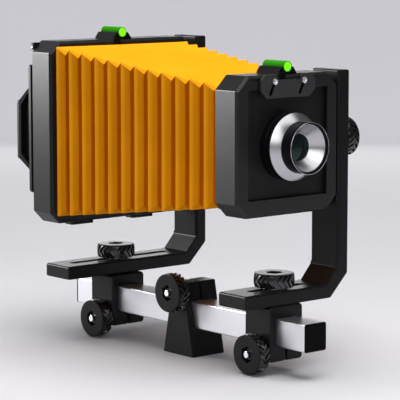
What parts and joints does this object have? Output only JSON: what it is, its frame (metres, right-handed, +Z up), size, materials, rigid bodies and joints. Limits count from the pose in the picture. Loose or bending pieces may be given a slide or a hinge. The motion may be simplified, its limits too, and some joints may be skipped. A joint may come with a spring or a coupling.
{
  "type": "view camera",
  "caption": "Monorail view camera: square rail on a clamp foot, two L-shaped standards carrying a lens frame and a film frame joined by pleated bellows, with a ground-glass back.",
  "frame": {"origin": "middle of the clamp foot's bottom face, on the axis of its tripod socket", "axes": "+Z up, lens toward -Y along the rail, uprights and tilt knobs on the +X side"},
  "size_m": [0.2085, 0.3404, 0.3082],
  "materials": {
    "black_plastic": "satin",
    "knob_plastic": "satin",
    "cradle_black": "satin",
    "board_black": "matt",
    "lens_black": "satin",
    "steel": "bright",
    "spring_steel": "satin",
    "rail_aluminium": "satin",
    "bright_aluminium": "turned",
    "brass": "plain",
    "level_green": "clear tinted",
    "lens_glass": "coated",
    "ground_glass": "ground",
    "bellows_cloth": "coated cloth"
  },
  "bodies": {
    "foot": {"mount_block": "black_plastic", "tripod_bushing": "brass", "mount_bolt": "steel"},
    "mount_knob": {"mount_knob": "knob_plastic", "mount_nut": "steel"},
    "rail": {"rail_tube": "rail_aluminium", "rail_caps": "black_plastic"},
    "lens_frame": {"lens_frame": "black_plastic", "front_tilt_bolt": "steel", "front_level_cradle": "cradle_black", "front_level_vial": "level_green", "lens_board": "board_black", "latch_screws": "steel", "shutter_housing": "lens_black", "lens_barrel": "lens_black", "lens_funnel": "bright_aluminium", "front_glass": "lens_glass", "bellows_front_plate": "black_plastic"},
    "board_latch": {"board_latch": "black_plastic"},
    "aperture_ring": {"aperture_ring": "bright_aluminium"},
    "rear_frame": {"rear_frame": "black_plastic", "rear_tilt_bolt": "steel", "rear_level_cradle": "cradle_black", "rear_level_vial": "level_green", "bellows_rear_plate": "black_plastic", "bellows": "bellows_cloth", "back_catches": "black_plastic", "catch_pins": "steel", "back_posts": "steel", "back_springs": "spring_steel"},
    "glass_back": {"back_plate": "black_plastic", "ground_glass": "ground_glass", "hood_walls": "black_plastic", "hood_pin": "steel"},
    "hood_lid": {"hood_lid": "black_plastic"},
    "front_carriage": {"front_carriage": "black_plastic", "front_clamp_bolt": "steel", "front_pivot_bolt": "steel"},
    "front_clamp_knob": {"front_clamp_knob": "knob_plastic", "front_clamp_nut": "steel"},
    "front_top_knob": {"front_top_knob": "knob_plastic", "front_top_nut": "steel"},
    "front_shift_key": {"front_shift_key": "steel"},
    "front_bracket": {"front_bracket": "black_plastic"},
    "front_rise_key": {"front_rise_key": "steel"},
    "front_tilt_knob": {"front_tilt_knob": "knob_plastic", "front_tilt_nut": "steel"},
    "rear_carriage": {"rear_carriage": "black_plastic", "rear_clamp_bolt": "steel", "rear_pivot_bolt": "steel"},
    "rear_clamp_knob": {"rear_clamp_knob": "knob_plastic", "rear_clamp_nut": "steel"},
    "rear_top_knob": {"rear_top_knob": "knob_plastic", "rear_top_nut": "steel"},
    "rear_shift_key": {"rear_shift_key": "steel"},
    "rear_bracket": {"rear_bracket": "black_plastic"},
    "rear_rise_key": {"rear_rise_key": "steel"},
    "rear_tilt_knob": {"rear_tilt_knob": "knob_plastic", "rear_tilt_nut": "steel"}
  },
  "joints": [
    {"name": "mount_knob_turn", "type": "hinge", "parent": "foot", "child": "mount_knob", "pos_m": [0, 0, 0.0608], "axis": [-1, 0, 0], "range_deg": [0, 360]},
    {"name": "rail_slide", "type": "slide", "parent": "foot", "child": "rail", "axis": [0, 1, 0], "range_m": [-0.035, 0.035]},
    {"name": "front_focus", "type": "slide", "parent": "rail", "child": "front_carriage", "axis": [0, 1, 0], "range_m": [-0.03, 0.038], "deforming": ["bellows"]},
    {"name": "front_clamp_turn", "type": "hinge", "parent": "front_carriage", "child": "front_clamp_knob", "pos_m": [0, -0.1135, 0.0194], "axis": [-1, 0, 0], "range_deg": [0, 360]},
    {"name": "front_top_turn", "type": "hinge", "parent": "front_carriage", "child": "front_top_knob", "pos_m": [0.002, -0.1116, 0.08], "axis": [0, 0, 1], "range_deg": [0, 360]},
    {"name": "front_swing", "type": "hinge", "parent": "front_carriage", "child": "front_shift_key", "pos_m": [0.002, -0.1116, 0.08], "axis": [0, 0, 1], "range_deg": [-20, 20], "deforming": ["bellows"]},
    {"name": "front_shift", "type": "slide", "parent": "front_shift_key", "child": "front_bracket", "axis": [1, 0, 0], "range_m": [-0.02, 0.019], "deforming": ["bellows"]},
    {"name": "front_rise", "type": "slide", "parent": "front_bracket", "child": "front_rise_key", "axis": [0, 0, 1], "range_m": [-0.02, 0.02], "deforming": ["bellows"]},
    {"name": "front_tilt", "type": "hinge", "parent": "front_rise_key", "child": "lens_frame", "pos_m": [0.07, -0.1116, 0.2113], "axis": [1, 0, 0], "range_deg": [-15, 15], "deforming": ["bellows"]},
    {"name": "front_tilt_turn", "type": "hinge", "parent": "lens_frame", "child": "front_tilt_knob", "pos_m": [0.08, -0.1116, 0.2113], "axis": [1, 0, 0], "range_deg": [0, 360]},
    {"name": "rear_focus", "type": "slide", "parent": "rail", "child": "rear_carriage", "axis": [0, 1, 0], "range_m": [-0.04, 0.03], "deforming": ["bellows"]},
    {"name": "rear_clamp_turn", "type": "hinge", "parent": "rear_carriage", "child": "rear_clamp_knob", "pos_m": [0, 0.1184, 0.0194], "axis": [-1, 0, 0], "range_deg": [0, 360]},
    {"name": "rear_top_turn", "type": "hinge", "parent": "rear_carriage", "child": "rear_top_knob", "pos_m": [0.002, 0.1235, 0.08], "axis": [0, 0, 1], "range_deg": [0, 360]},
    {"name": "rear_swing", "type": "hinge", "parent": "rear_carriage", "child": "rear_shift_key", "pos_m": [0.002, 0.1235, 0.08], "axis": [0, 0, 1], "range_deg": [-20, 20], "deforming": ["bellows"]},
    {"name": "rear_shift", "type": "slide", "parent": "rear_shift_key", "child": "rear_bracket", "axis": [1, 0, 0], "range_m": [-0.03, 0.03], "deforming": ["bellows"]},
    {"name": "rear_rise", "type": "slide", "parent": "rear_bracket", "child": "rear_rise_key", "axis": [0, 0, 1], "range_m": [-0.02, 0.02], "deforming": ["bellows"]},
    {"name": "rear_tilt", "type": "hinge", "parent": "rear_rise_key", "child": "rear_frame", "pos_m": [0.07, 0.1235, 0.2113], "axis": [1, 0, 0], "range_deg": [-15, 15], "deforming": ["bellows"]},
    {"name": "rear_tilt_turn", "type": "hinge", "parent": "rear_frame", "child": "rear_tilt_knob", "pos_m": [0.08, 0.1235, 0.2113], "axis": [1, 0, 0], "range_deg": [0, 360]},
    {"name": "latch_slide", "type": "slide", "parent": "lens_frame", "child": "board_latch", "axis": [0.4099, 0, 0.9121], "range_m": [0, 0.0117]},
    {"name": "aperture_turn", "type": "hinge", "parent": "lens_frame", "child": "aperture_ring", "pos_m": [0.002, -0.14, 0.2088], "axis": [0, -1, 0], "range_deg": [0, 120]},
    {"name": "back_draw", "type": "slide", "parent": "rear_frame", "child": "glass_back", "axis": [0, 1, 0], "range_m": [0, 0.012], "stiffness_N_per_m": 400, "springref_m": -0.02, "deforming": ["back_springs"]},
    {"name": "lid_open", "type": "hinge", "parent": "glass_back", "child": "hood_lid", "pos_m": [0.0015, 0.1683, 0.2389], "axis": [1, 0, 0], "range_deg": [0, 110]}
  ]
}
